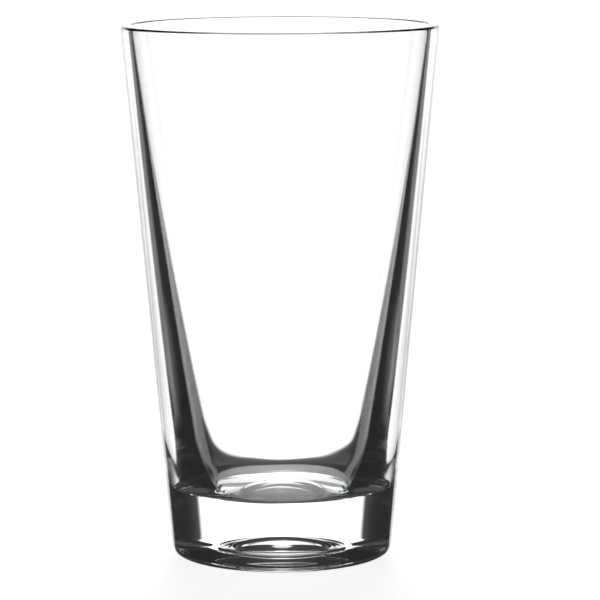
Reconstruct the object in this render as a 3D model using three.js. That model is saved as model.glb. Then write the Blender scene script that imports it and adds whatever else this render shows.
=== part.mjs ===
// A pint glass: one conical tumbler of pressed clear glass, with a heavy foot and a rounded rim.
// Millimetres, +Z up. The origin is the centre of the foot, on the plane that the glass stands on.

import * as THREE from "three";

// Outside
const HEIGHT = 149.2;
const RIM_RADIUS = 44.45; // the outer cone's radius at the top
const FOOT_RADIUS = 30.9; // the outer cone's radius at the table
const RIM_WALL = 3.0; // thickness of the wall at the rim
const RIM_ROUNDING = 0.7;
const HEEL_ROUNDING = 3.0; // between the standing ring and the outer wall

// Underside: a flat ring that the glass stands on, a hollow inside it and a punt in the hollow
const RING_RADIUS = 25.0; // the standing ring's inner edge
const RING_ROUNDING = 2.0;
const HOLLOW_HEIGHT = 4.5; // above the table, at the centre
const PUNT_RADIUS = 13.0;
const PUNT_HEIGHT = 3.7; // above the hollow, at the centre

// Cavity
const FLOOR_HEIGHT = 18.9; // the cavity's flat floor, above the table
const FLOOR_EDGE_RADIUS = 22.5; // where the lines of the cavity's wall and floor would meet
const FLOOR_BEND_OUT = 2.5; // the bend from floor to wall starts this far in from that radius
const FLOOR_BEND_UP = 16.8; // and ends this far up the wall
const WALL_BULGE = 0.6; // the wall is this far outside a straight line, half way up

// Facets
const SEGMENTS = 96; // round the axis
const CHORD_GAP = 0.03; // the widest gap between a rounded corner and its chords
const PUNT_RINGS = 8;
const HOLLOW_RINGS = 5;
const WALL_RINGS = 8;
const BEND_RINGS = 10;

const at = (r, z) => new THREE.Vector2(r, z);

// The points of an arc that rounds the corner at b, on the way from a to c.
function roundedCorner(a, b, c, radius) {
  const back = a.clone().sub(b).normalize();
  const onward = c.clone().sub(b).normalize();
  const halfAngle = Math.acos(back.dot(onward)) / 2;
  const middle = back.clone().add(onward).normalize();
  const centre = middle.multiplyScalar(radius / Math.sin(halfAngle)).add(b);
  const reach = radius / Math.tan(halfAngle);
  const from = back.multiplyScalar(reach).add(b).sub(centre);
  const turn = Math.sign(from.clone().cross(b.clone().sub(centre))) * (Math.PI - 2 * halfAngle);
  const chordTurn = 2 * Math.acos(1 - CHORD_GAP / radius);
  const chords = Math.ceil(Math.abs(turn) / chordTurn);
  return Array.from({ length: chords + 1 }, (_, i) =>
    from.clone().rotateAround(at(0, 0), (turn * i) / chords).add(centre),
  );
}

// Height of the underside above the table, at a distance from the axis. The hollow is part of a
// parabola and the punt half an ellipse.
function undersideHeight(r) {
  const hollow = HOLLOW_HEIGHT * (1 - (r / RING_RADIUS) ** 2);
  const punt = PUNT_HEIGHT * Math.sqrt(Math.max(0, 1 - (r / PUNT_RADIUS) ** 2));
  return hollow + punt;
}

// From the axis out to just inside the standing ring.
function underside() {
  const punt = Array.from(
    { length: PUNT_RINGS }, // close together where the punt is steep
    (_, i) => PUNT_RADIUS * Math.sin(((Math.PI / 2) * i) / PUNT_RINGS),
  );
  const hollow = Array.from({ length: HOLLOW_RINGS }, (_, i) =>
    THREE.MathUtils.lerp(PUNT_RADIUS, RING_RADIUS, i / HOLLOW_RINGS),
  );
  return [...punt, ...hollow].map((r) => at(r, undersideHeight(r)));
}

// Points down the cavity's wall, from just under the mouth to where the floor's bend begins.
function cavityWall(mouth, floorEdge) {
  const end = 1 - FLOOR_BEND_UP / (mouth.y - floorEdge.y);
  return Array.from({ length: WALL_RINGS }, (_, i) => {
    const share = (end * (i + 1)) / WALL_RINGS;
    const point = mouth.clone().lerp(floorEdge, share);
    point.x += WALL_BULGE * 4 * share * (1 - share);
    return point;
  });
}

// The bend from the wall to the floor: a quarter of an ellipse that is tall and narrow.
function floorBend(wallEnd, floorEdge) {
  const up = wallEnd.clone().sub(floorEdge);
  const inward = at(-FLOOR_BEND_OUT, 0);
  return Array.from({ length: BEND_RINGS }, (_, i) => {
    const angle = ((Math.PI / 2) * (i + 1)) / BEND_RINGS;
    return floorEdge
      .clone()
      .addScaledVector(up, 1 - Math.sin(angle))
      .addScaledVector(inward, 1 - Math.cos(angle));
  });
}

// Half of the glass's section: x is the distance from the axis and y is the height. It runs from
// the middle of the underside, out and up the outer wall, over the rim and down into the cavity.
function section() {
  const base = underside();
  const ring = at(RING_RADIUS, 0);
  const heel = at(FOOT_RADIUS, 0);
  const rim = at(RIM_RADIUS, HEIGHT);
  const mouth = at(RIM_RADIUS - RIM_WALL, HEIGHT);
  const floorEdge = at(FLOOR_EDGE_RADIUS, FLOOR_HEIGHT);
  const wall = cavityWall(mouth, floorEdge);
  return [
    ...base,
    ...roundedCorner(base.at(-1), ring, heel, RING_ROUNDING),
    ...roundedCorner(ring, heel, rim, HEEL_ROUNDING),
    ...roundedCorner(heel, rim, mouth, RIM_ROUNDING),
    ...roundedCorner(rim, mouth, wall[0], RIM_ROUNDING),
    ...wall,
    ...floorBend(wall.at(-1), floorEdge),
    at(0, FLOOR_HEIGHT),
  ];
}

const clearGlass = new THREE.MeshStandardMaterial({
  color: 0xeef3f1,
  roughness: 0.02,
  metalness: 0,
  transparent: true,
  opacity: 0.35,
});

const lathe = new THREE.LatheGeometry(section(), SEGMENTS);
lathe.rotateX(Math.PI / 2); // the lathe turns its outline about Y

const glassBody = new THREE.Mesh(lathe, clearGlass);
glassBody.name = "glass_body";

const pintGlass = new THREE.Group();
pintGlass.name = "pint_glass";
pintGlass.add(glassBody);

export default pintGlass;
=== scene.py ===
import math

import bpy
import numpy as np
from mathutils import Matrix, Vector, noise


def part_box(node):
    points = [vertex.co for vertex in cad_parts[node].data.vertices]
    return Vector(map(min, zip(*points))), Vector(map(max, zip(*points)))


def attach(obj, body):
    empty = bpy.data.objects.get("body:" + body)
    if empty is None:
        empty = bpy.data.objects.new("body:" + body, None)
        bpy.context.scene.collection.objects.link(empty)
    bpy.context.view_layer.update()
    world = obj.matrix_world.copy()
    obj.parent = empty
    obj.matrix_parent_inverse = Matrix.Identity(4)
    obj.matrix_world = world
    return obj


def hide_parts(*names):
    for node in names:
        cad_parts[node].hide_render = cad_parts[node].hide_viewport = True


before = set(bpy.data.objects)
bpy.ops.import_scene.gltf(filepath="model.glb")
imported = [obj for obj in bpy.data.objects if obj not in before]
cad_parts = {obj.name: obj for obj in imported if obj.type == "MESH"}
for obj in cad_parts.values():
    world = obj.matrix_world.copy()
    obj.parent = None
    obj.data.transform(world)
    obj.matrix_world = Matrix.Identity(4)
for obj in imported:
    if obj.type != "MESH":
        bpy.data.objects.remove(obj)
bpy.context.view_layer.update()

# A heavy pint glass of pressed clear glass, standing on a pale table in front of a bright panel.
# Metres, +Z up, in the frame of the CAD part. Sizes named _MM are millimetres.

# Outline of the glass, as the CAD part has it
HEIGHT_MM = 149.2
RIM_RADIUS_MM = 44.45
FOOT_RADIUS_MM = 30.9
RIM_WALL_MM = 3.0
RIM_ROUNDING_MM = 0.7
HEEL_ROUNDING_MM = 3.0
RING_RADIUS_MM = 25.0  # inner edge of the ring that the glass stands on
RING_ROUNDING_MM = 2.0
HOLLOW_HEIGHT_MM = 4.5  # above the table, at the centre of the underside
PUNT_RADIUS_MM = 13.0
PUNT_HEIGHT_MM = 3.7  # above the hollow
FLOOR_HEIGHT_MM = 18.9
FLOOR_EDGE_RADIUS_MM = 22.5
FLOOR_BEND_OUT_MM = 2.5  # where the floor turns up into the wall: how far in the bend starts
FLOOR_BEND_UP_MM = 16.8  # and how far up it ends
WALL_BULGE_MM = 0.6  # the cavity's wall is this far outside a straight line, half way up

# Mesh
SEGMENTS = 240  # round the axis
LONGEST_STEP_MM = 1.5  # between two rings of points on a straight run
WALL_POINTS = 80  # down the cavity's wall
BEND_POINTS = 30  # from the wall to the floor
ARC_STEP_DEG = 3.0
PUNT_STEP_DEG = 2.0
HOLLOW_STEP_MM = 0.5

# Waves that the mould and the plunger leave in the glass: how far they move it, and their length
FLOOR_WAVE_MM = 0.16  # on the cavity's floor and its bend
FLOOR_WAVE_LENGTH_MM = 11.0
PUNT_WAVE_MM = 0.06
PUNT_WAVE_LENGTH_MM = 9.0
WALL_WAVE_MM = 0.008
WALL_WAVE_LENGTH_MM = 18.0
WAVE_SEED = 11.0

# Glass
IOR = 1.52
GLASS_TINT = (0.90, 0.95, 0.93, 1)  # seen only through many centimetres of it
TINT_PER_METRE = 6.0
HAZE = 0.012  # roughness of the traces that hands and cloths leave
HAZE_NOISE = (28, 4, 0.6)  # patches per metre, detail and roughness of the noise that places them
HAZE_AMONG = (0.5, 0.8)  # values of the noise: clean up to the first, and hazy from the second on
HAZE_FROM = (0.03, 0.05)  # heights: none on the foot, and all of it from the second one up
HAZE_COLOUR = (0.975, 0.985, 0.98)  # what the haziest patches pass
HAZE_COLOUR_AMONG = (0.3, 0.8)
SCUFFS = (0.02, 0.10)  # roughness of the ring that the glass stands on
SCUFF_STRETCH = (900, 900, 30)  # scuffs per metre
SCUFF_NOISE = (1, 3, 0.7)  # scale, detail and roughness
SCUFF_AMONG = (0.35, 0.65)
SCUFF_HEIGHTS = (0.00012, 0.0004)  # above the table: all up to the first, and none from the second

# Camera and film
CAMERA_DISTANCE = 0.9233
CAMERA_HEIGHT = 0.1995
CAMERA_PITCH_DEG = 7.875
CAMERA_TURN_DEG = -0.331
CAMERA_ROLL_DEG = -0.179
LENS_MM = 199.0
SENSOR_MM = 36.0
LIGHT_BOUNCES = 32  # light crosses many surfaces of the foot
GLOSSY_BOUNCES = 16

# Floor, as the camera sees it
TABLE_SIZE = 6.0
TABLE_GAP = 0.0002  # the table is this far under the foot, so that the two don't touch
TABLE_COLOUR = (0.85, 0.85, 0.85, 1)
TABLE_ROUGHNESS = 0.6
TABLE_GLOW = 0.85

# Light. 1 is white. The studio turns with the camera: 0 degrees aside is straight behind the
# glass, 180 is behind the camera, and heights are above the horizon.
PANEL_LIGHT = 1.3
PANEL_CENTRE_DEG = 1.5
PANEL_UP_DEG = 42.0  # the panel narrows to a point this far above its centre
PANEL_UP_POWER = 0.97  # 1 would give the upper half straight sides, 2 an ellipse
PANEL_DOWN_DEG = 26.0
PANEL_DOWN_POWER = 1.7
PANEL_HALF_WIDTH_DEG = 36.0
PANEL_SOFT_DEG = 3.0
GLOW_LIGHT = 0.10  # beside the panel
GLOW_DEG = 3.5
SIDE_LIGHT = 0.02
FRONT_LIGHT = 0.08
FRONT_FROM_DEG = 102.0  # the camera's side of the studio starts here
FRONT_SOFT_DEG = 14.0
CEILING_LIGHT = 1.0  # a lamp above and behind the glass, placed on a ceiling 1 unit up
CEILING_BACK = 0.95
CEILING_HALF_LENGTH = 0.45
CEILING_HALF_WIDTH = 0.22
CEILING_EDGE = (0.8, 1.2)  # shares of the half sizes: full in to the first and gone at the second
LOWEST_UP = 0.02  # a direction that rises less is taken to rise this much, to divide by it
BAND_LIGHT = 1.0  # a lit strip of table in front of the glass
BAND_HEIGHT_DEG = -13.0  # at its ends
BAND_SAG_DEG = 9.0  # lower than that in the middle
BAND_HALF_DEG = 4.3
BAND_FROM_DEG = 104.0
BAND_SOFT_DEG = 10.0  # and it fades in over this much
NEAR_LIGHT = 0.21  # the table close to the glass, at the camera's side
NEAR_BELOW_DEG = -31.0
NEAR_SOFT_DEG = 12.0  # full light this far below that
PAINTED_SHADE_UNDER_FOOT = 0.07  # painted shadow of the glass: the table under the foot glows only this little
POOL_LIGHT = 0.6  # a pool of light on the table behind the glass, seen in its rim
POOL_BACK = 0.15
POOL_RADIUS = (0.06, 0.09)  # full out to the first and gone at the second
POOL_BELOW_DEG = -23.0  # only rays that meet the table more steeply than this see it


def corner_arc(a, b, c, radius):
    """The points that round the corner at b, on the way from a to c."""
    back, onward = (a - b).normalized(), (c - b).normalized()
    half = back.angle(onward) / 2
    centre = b + (back + onward).normalized() * radius / math.sin(half)
    start = b + back * radius / math.tan(half) - centre
    towards = b - centre
    side = math.copysign(1.0, start.x * towards.y - start.y * towards.x)
    turn = side * (math.pi - 2 * half)
    steps = max(2, math.ceil(abs(math.degrees(turn)) / ARC_STEP_DEG))
    points = []
    for i in range(steps + 1):
        angle = turn * i / steps
        x = start.x * math.cos(angle) - start.y * math.sin(angle)
        y = start.x * math.sin(angle) + start.y * math.cos(angle)
        points.append(centre + Vector((x, y)))
    return points


def underside_height(r):
    hollow = HOLLOW_HEIGHT_MM * (1 - (r / RING_RADIUS_MM) ** 2)
    punt = PUNT_HEIGHT_MM * math.sqrt(max(0, 1 - (r / PUNT_RADIUS_MM) ** 2))
    return hollow + punt


def underside():
    """From the axis to just inside the ring that the glass stands on."""
    turns = np.radians(np.arange(0, 90, PUNT_STEP_DEG))  # close together where the punt is steep
    radii = [PUNT_RADIUS_MM * math.sin(t) for t in turns]
    radii += list(np.arange(PUNT_RADIUS_MM, RING_RADIUS_MM - HOLLOW_STEP_MM, HOLLOW_STEP_MM))
    return [Vector((r, underside_height(r))) for r in radii]


def smooth_step(value):
    value = min(1.0, max(0.0, value))
    return value * value * (3 - 2 * value)


def cavity_wall(mouth, corner):
    """Points down the cavity's wall, from just under the mouth to where the floor's bend begins."""
    end = 1 - FLOOR_BEND_UP_MM / (mouth.y - corner.y)
    points = []
    for share in np.linspace(0, end, WALL_POINTS + 1)[1:]:
        point = mouth.lerp(corner, share)
        point.x += WALL_BULGE_MM * 4 * share * (1 - share)
        points.append(point)
    return points


def floor_bend(wall_end, corner):
    """A quarter of an ellipse, from the end of the cavity's wall to its floor."""
    up = wall_end - corner
    inward = Vector((-FLOOR_BEND_OUT_MM, 0))
    points = []
    for t in np.radians(np.linspace(0, 90, BEND_POINTS + 1)[1:]):
        points.append(corner + up * (1 - math.sin(t)) + inward * (1 - math.cos(t)))
    return points


def section():
    """Half of the glass's section, from the middle of the underside to the middle of the floor."""
    line = underside()
    ring = Vector((RING_RADIUS_MM, 0))
    heel = Vector((FOOT_RADIUS_MM, 0))
    rim = Vector((RIM_RADIUS_MM, HEIGHT_MM))
    mouth = Vector((RIM_RADIUS_MM - RIM_WALL_MM, HEIGHT_MM))
    floor_edge = Vector((FLOOR_EDGE_RADIUS_MM, FLOOR_HEIGHT_MM))
    wall = cavity_wall(mouth, floor_edge)
    line += corner_arc(line[-1], ring, heel, RING_ROUNDING_MM)
    line += corner_arc(ring, heel, rim, HEEL_ROUNDING_MM)
    line += corner_arc(heel, rim, mouth, RIM_ROUNDING_MM)
    line += corner_arc(rim, mouth, wall[0], RIM_ROUNDING_MM)
    line += wall + floor_bend(wall[-1], floor_edge)
    line.append(Vector((0, FLOOR_HEIGHT_MM)))
    return filled_in(line)


def filled_in(points):
    """The same line with more points, so that no step is longer than LONGEST_STEP_MM."""
    line = [points[0]]
    for a, b in zip(points, points[1:]):
        steps = max(1, math.ceil((b - a).length / LONGEST_STEP_MM))
        line += [a.lerp(b, i / steps) for i in range(1, steps + 1)]
    return line


def section_normals(line):
    """The direction out of the glass at each point of the half section."""
    xy = np.array([(p.x, p.y) for p in line])
    along = np.gradient(xy, axis=0)
    along[0] = along[-1] = 0
    along[0, 0], along[-1, 0] = 1, -1  # the section meets the axis at right angles
    normals = np.column_stack([along[:, 1], -along[:, 0]])
    return normals / np.linalg.norm(normals, axis=1)[:, None]


def waves_at(r, z):
    """How far waves move the surface there, and their length, in millimetres."""
    cone = FOOT_RADIUS_MM + (RIM_RADIUS_MM - FOOT_RADIUS_MM) * z / HEIGHT_MM
    outside = r > cone - RIM_WALL_MM / 2
    below_cavity = z < FLOOR_HEIGHT_MM - PUNT_HEIGHT_MM
    if below_cavity and r < RING_RADIUS_MM:
        fade = 1 - (r / RING_RADIUS_MM) ** 4  # none at the standing ring
        return PUNT_WAVE_MM * fade, PUNT_WAVE_LENGTH_MM
    if below_cavity or outside:
        return 0.0, WALL_WAVE_LENGTH_MM
    up_bend = smooth_step((z - FLOOR_HEIGHT_MM) / FLOOR_BEND_UP_MM)
    if up_bend < 1:
        return FLOOR_WAVE_MM + (WALL_WAVE_MM - FLOOR_WAVE_MM) * up_bend, FLOOR_WAVE_LENGTH_MM
    from_rim = smooth_step((HEIGHT_MM - z) / WALL_WAVE_LENGTH_MM)
    return WALL_WAVE_MM * from_rim, WALL_WAVE_LENGTH_MM


def waved(point, normal, height, length):
    """The point moved along its normal by smooth noise."""
    if not height:
        return point
    where = Vector(point) / length + Vector((WAVE_SEED, 0, 0))
    return Vector(point) + Vector(normal) * height * noise.noise(where)


def turned(line, name):
    """A closed mesh made by turning a half section about the z axis. Its ends are on the axis."""
    low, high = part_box("glass_body")
    unit = (high.z - low.z) / HEIGHT_MM
    normals = section_normals(line)
    points = []
    for (r, z), (out, up) in zip(line[1:-1], normals[1:-1]):
        height, length = waves_at(r, z)
        for angle in np.linspace(0, 2 * math.pi, SEGMENTS, endpoint=False):
            x, y = math.cos(angle), math.sin(angle)
            points.append(waved((r * x, r * y, z), (out * x, out * y, up), height, length))
    for (r, z), (out, up) in ((line[0], normals[0]), (line[-1], normals[-1])):
        points.append(waved((r, 0, z), (out, 0, up), *waves_at(r, z)))
    bottom, top = len(points) - 2, len(points) - 1
    faces = []
    last = bottom - SEGMENTS
    for j in range(SEGMENTS):
        k = (j + 1) % SEGMENTS
        faces.append((bottom, k, j))
        faces.append((top, last + j, last + k))
        for row in range(0, last, SEGMENTS):
            faces.append((row + j, row + k, row + SEGMENTS + k, row + SEGMENTS + j))
    mesh = bpy.data.meshes.new(name)
    mesh.from_pydata([tuple(unit * v for v in p) for p in points], [], faces)
    mesh.shade_smooth()
    return mesh


class Nodes:
    """Short calls for building one node tree."""

    def __init__(self, tree):
        self.tree = tree

    def add(self, kind, **settings):
        node = self.tree.nodes.new(kind)
        for key, value in settings.items():
            setattr(node, key, value)
        return node

    def feed(self, value, socket):
        if isinstance(value, bpy.types.NodeSocket):
            self.tree.links.new(value, socket)
        else:
            socket.default_value = value

    def math(self, operation, *values):
        node = self.add("ShaderNodeMath", operation=operation)
        for value, socket in zip(values, node.inputs):
            self.feed(value, socket)
        return node.outputs[0]

    def noise(self, place, scale, detail, roughness):
        node = self.add("ShaderNodeTexNoise")
        self.feed(place, node.inputs["Vector"])
        node.inputs["Scale"].default_value = scale
        node.inputs["Detail"].default_value = detail
        node.inputs["Roughness"].default_value = roughness
        return node.outputs["Fac"]

    def stretched(self, vector, scale):
        node = self.add("ShaderNodeVectorMath", operation="MULTIPLY")
        self.feed(vector, node.inputs[0])
        node.inputs[1].default_value = scale
        return node.outputs[0]

    def length(self, vector):
        node = self.add("ShaderNodeVectorMath", operation="LENGTH")
        self.feed(vector, node.inputs[0])
        return node.outputs["Value"]

    def blend(self, share, a, b):
        """a where share is 0, b where it is 1."""
        node = self.add("ShaderNodeMix", data_type="FLOAT")
        for given, name in ((share, "Factor"), (a, "A"), (b, "B")):
            self.feed(given, node.inputs[name])
        return node.outputs["Result"]

    def split(self, vector):
        node = self.add("ShaderNodeSeparateXYZ")
        self.feed(vector, node.inputs[0])
        return node.outputs

    def behind_glass(self, vector):
        """A world vector as right, up and away from the camera, whichever side the camera is on."""
        seen = self.add(
            "ShaderNodeVectorTransform",
            vector_type="VECTOR",
            convert_from="WORLD",
            convert_to="CAMERA",
        )
        self.feed(vector, seen.inputs[0])
        level = self.add("ShaderNodeVectorRotate", rotation_type="X_AXIS")
        self.feed(seen.outputs[0], level.inputs["Vector"])
        level.inputs["Angle"].default_value = math.radians(CAMERA_PITCH_DEG)
        return level.outputs[0]

    def ramp(self, value, start, end, low=0.0, high=1.0, kind="SMOOTHSTEP"):
        """low before start, high after end, and smooth between. start is less than end."""
        node = self.add("ShaderNodeMapRange", interpolation_type=kind)
        for given, name in (
            (value, "Value"),
            (start, "From Min"),
            (end, "From Max"),
            (low, "To Min"),
            (high, "To Max"),
        ):
            self.feed(given, node.inputs[name])
        return node.outputs["Result"]


def clear_glass():
    """Fire-polished soda-lime glass, with traces of haze and a scuffed standing ring."""
    material = bpy.data.materials.new("clear_glass")
    material.use_nodes = True
    n = Nodes(material.node_tree)
    shader = n.tree.nodes["Principled BSDF"]
    shader.inputs["IOR"].default_value = IOR
    shader.inputs["Transmission Weight"].default_value = 1.0
    place = n.add("ShaderNodeTexCoord").outputs["Object"]
    haze = n.noise(place, *HAZE_NOISE)
    scratches = n.noise(n.stretched(place, SCUFF_STRETCH), *SCUFF_NOISE)
    height = n.split(place)[2]
    marks = n.math("MULTIPLY", n.ramp(haze, *HAZE_AMONG), n.ramp(height, *HAZE_FROM))
    clean = n.math("MULTIPLY", marks, HAZE)
    scuffed = n.ramp(scratches, *SCUFF_AMONG, *SCUFFS)
    on_ring = n.ramp(height, *SCUFF_HEIGHTS, 1, 0)
    n.feed(n.blend(on_ring, clean, scuffed), shader.inputs["Roughness"])
    shade = n.add("ShaderNodeCombineColor")
    for socket, colour in zip(shade.inputs, HAZE_COLOUR):
        n.feed(n.ramp(haze, *HAZE_COLOUR_AMONG, 1.0, colour), socket)
    n.feed(shade.outputs[0], shader.inputs["Base Color"])
    tint = n.add("ShaderNodeVolumeAbsorption")
    tint.inputs["Color"].default_value = GLASS_TINT
    tint.inputs["Density"].default_value = TINT_PER_METRE
    n.feed(tint.outputs[0], n.tree.nodes["Material Output"].inputs["Volume"])
    return material


def build_glass():
    glass = bpy.data.objects.new("tumbler", turned(section(), "tumbler"))
    bpy.context.scene.collection.objects.link(glass)
    glass.data.materials.append(clear_glass())
    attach(glass, "root")
    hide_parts("glass_body")
    return glass


def panel_distance(n, aside, above):
    """How far outside the panel's edge a direction is, in radians."""
    centre = math.radians(PANEL_CENTRE_DEG)
    width = math.radians(PANEL_HALF_WIDTH_DEG)
    off = n.math("SUBTRACT", above, centre)
    halves = []
    for sign, height, power in (
        (1, PANEL_UP_DEG, PANEL_UP_POWER),
        (-1, PANEL_DOWN_DEG, PANEL_DOWN_POWER),
    ):
        along = n.math("MAXIMUM", n.math("MULTIPLY", off, sign / math.radians(height)), 0)
        across = n.math("POWER", n.math("DIVIDE", aside, width), power)
        total = n.math("ADD", across, n.math("POWER", along, power))
        halves.append(n.math("POWER", total, 1 / power))
    reach = n.blend(n.math("LESS_THAN", off, 0), *halves)
    return n.math("MULTIPLY", n.math("SUBTRACT", reach, 1), width)


def ceiling_lamp(n, right, up, forward):
    """1 where a direction meets the lamp, 0 elsewhere."""
    height = n.math("MAXIMUM", up, LOWEST_UP)
    across = n.math("DIVIDE", n.math("DIVIDE", right, height), CEILING_HALF_WIDTH)
    back = n.math("SUBTRACT", n.math("DIVIDE", forward, height), CEILING_BACK)
    along = n.math("DIVIDE", back, CEILING_HALF_LENGTH)
    reach = n.math("SQRT", n.math("ADD", n.math("POWER", across, 2), n.math("POWER", along, 2)))
    return n.ramp(reach, *CEILING_EDGE, 1, 0)


def table_band(n, aside, above):
    """The lit strip of table, from 0 to 1."""
    start = math.radians(BAND_FROM_DEG)
    sag = n.ramp(aside, start, math.pi, 0, math.radians(BAND_SAG_DEG), "LINEAR")
    off = n.math("SUBTRACT", n.math("ADD", above, sag), math.radians(BAND_HEIGHT_DEG))
    off = n.math("DIVIDE", off, math.radians(BAND_HALF_DEG))
    bump = n.math("EXPONENT", n.math("MULTIPLY", n.math("MULTIPLY", off, off), -1))
    end = start + math.radians(BAND_SOFT_DEG)
    return n.math("MULTIPLY", bump, n.ramp(aside, start, end))


def studio_light():
    """A node group from a direction to how bright the studio is there."""
    group = bpy.data.node_groups.new("studio_light", "ShaderNodeTree")
    group.interface.new_socket("Direction", in_out="INPUT", socket_type="NodeSocketVector")
    group.interface.new_socket("Strength", in_out="OUTPUT", socket_type="NodeSocketFloat")
    n = Nodes(group)
    right, up, forward = n.split(n.behind_glass(n.add("NodeGroupInput").outputs[0]))
    aside = n.math("ABSOLUTE", n.math("ARCTAN2", right, forward))
    above = n.math("ARCSINE", up)
    past = panel_distance(n, aside, above)
    soft = math.radians(PANEL_SOFT_DEG) / 2
    fade = n.math("DIVIDE", n.math("MAXIMUM", past, 0), -math.radians(GLOW_DEG))
    front, front_soft = math.radians(FRONT_FROM_DEG), math.radians(FRONT_SOFT_DEG) / 2
    at_front = n.ramp(aside, front - front_soft, front + front_soft)
    near_start = math.radians(NEAR_BELOW_DEG - NEAR_SOFT_DEG)
    near = n.ramp(above, near_start, math.radians(NEAR_BELOW_DEG), 1, 0)
    parts = (
        (n.ramp(past, -soft, soft, 1, 0), PANEL_LIGHT),
        (n.math("EXPONENT", fade), GLOW_LIGHT),
        (ceiling_lamp(n, right, up, forward), CEILING_LIGHT),
        (table_band(n, aside, above), BAND_LIGHT),
        (n.math("MULTIPLY", near, at_front), NEAR_LIGHT),
        (at_front, FRONT_LIGHT - SIDE_LIGHT),
    )
    total = SIDE_LIGHT
    for shape, light in parts:
        total = n.math("ADD", n.math("MULTIPLY", shape, light), total)
    n.feed(total, n.add("NodeGroupOutput").inputs[0])
    return group


def table_pool(n, place, onward):
    """The pool of light behind the glass, for rays that meet the table steeply enough."""
    right, _, back = n.split(n.behind_glass(place))
    off = n.add("ShaderNodeCombineXYZ")
    n.feed(right, off.inputs[0])
    n.feed(n.math("SUBTRACT", back, POOL_BACK), off.inputs[1])
    pool = n.ramp(n.length(off.outputs[0]), *POOL_RADIUS, POOL_LIGHT, 0)
    steep = n.math("LESS_THAN", n.split(onward)[2], math.sin(math.radians(POOL_BELOW_DEG)))
    return n.math("MULTIPLY", pool, steep)


def table_light(n, light):
    """What the glass meets in the table: the studio's light, the pool of light, and painted shade
    under the foot.
    """
    here = n.add("ShaderNodeNewGeometry")
    place = here.outputs["Position"]
    onward = n.stretched(here.outputs["Incoming"], (-1, -1, -1))
    around = n.add("ShaderNodeGroup", node_tree=light)
    n.feed(onward, around.inputs[0])
    open_table = n.math("ADD", around.outputs[0], table_pool(n, place, onward))
    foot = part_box("glass_body")[1].x * FOOT_RADIUS_MM / RIM_RADIUS_MM
    outside = n.math("GREATER_THAN", n.length(place), foot)
    # painted shade: under the foot the table glows at the dim under-foot level, and outside it with
    # the open table's light
    return n.blend(outside, PAINTED_SHADE_UNDER_FOOT, open_table)


def pale_floor(light):
    """Pale and softly shaded to the camera. Every other ray meets a glow: the studio's light, a
    painted pool of light, and painted shade under the foot.
    """
    material = bpy.data.materials.new("pale_floor")
    material.use_nodes = True
    n = Nodes(material.node_tree)
    shader = n.tree.nodes["Principled BSDF"]
    shader.inputs["Base Color"].default_value = TABLE_COLOUR
    shader.inputs["Roughness"].default_value = TABLE_ROUGHNESS
    shader.inputs["Emission Color"].default_value = (1, 1, 1, 1)
    shader.inputs["Emission Strength"].default_value = TABLE_GLOW
    glow = n.add("ShaderNodeEmission")
    n.feed(table_light(n, light), glow.inputs["Strength"])
    mix = n.add("ShaderNodeMixShader")
    n.feed(n.add("ShaderNodeLightPath").outputs["Is Camera Ray"], mix.inputs[0])
    n.feed(glow.outputs[0], mix.inputs[1])
    n.feed(shader.outputs[0], mix.inputs[2])
    n.feed(mix.outputs[0], n.tree.nodes["Material Output"].inputs["Surface"])
    return material


def build_floor(light):
    bpy.ops.mesh.primitive_plane_add(size=TABLE_SIZE)
    floor = bpy.context.object
    floor.name = "floor"
    floor.location.z = -TABLE_GAP
    floor.data.materials.append(pale_floor(light))


def build_world(light):
    world = bpy.data.worlds.new("studio")
    bpy.context.scene.world = world
    world.use_nodes = True
    n = Nodes(world.node_tree)
    strength = n.add("ShaderNodeGroup", node_tree=light)
    n.feed(n.add("ShaderNodeTexCoord").outputs["Generated"], strength.inputs[0])
    n.feed(strength.outputs[0], n.tree.nodes["Background"].inputs["Strength"])
    n.tree.nodes["Background"].inputs["Color"].default_value = (1, 1, 1, 1)


def build_camera():
    data = bpy.data.cameras.new("camera")
    camera = bpy.data.objects.new("camera", data)
    bpy.context.scene.collection.objects.link(camera)
    data.lens = LENS_MM
    data.sensor_width = SENSOR_MM
    camera.location = (0, -CAMERA_DISTANCE, CAMERA_HEIGHT)
    camera.rotation_euler = (math.radians(90 - CAMERA_PITCH_DEG), 0, math.radians(CAMERA_TURN_DEG))
    camera.rotation_euler.rotate_axis("Z", math.radians(CAMERA_ROLL_DEG))
    bpy.context.scene.camera = camera


def set_film():
    scene = bpy.context.scene
    scene.view_settings.view_transform = "Standard"
    scene.view_settings.look = "None"
    scene.cycles.max_bounces = LIGHT_BOUNCES
    scene.cycles.transmission_bounces = LIGHT_BOUNCES
    scene.cycles.glossy_bounces = GLOSSY_BOUNCES
    scene.cycles.caustics_refractive = True
    scene.cycles.caustics_reflective = True


build_glass()
studio = studio_light()
build_floor(studio)
build_world(studio)
build_camera()
set_film()
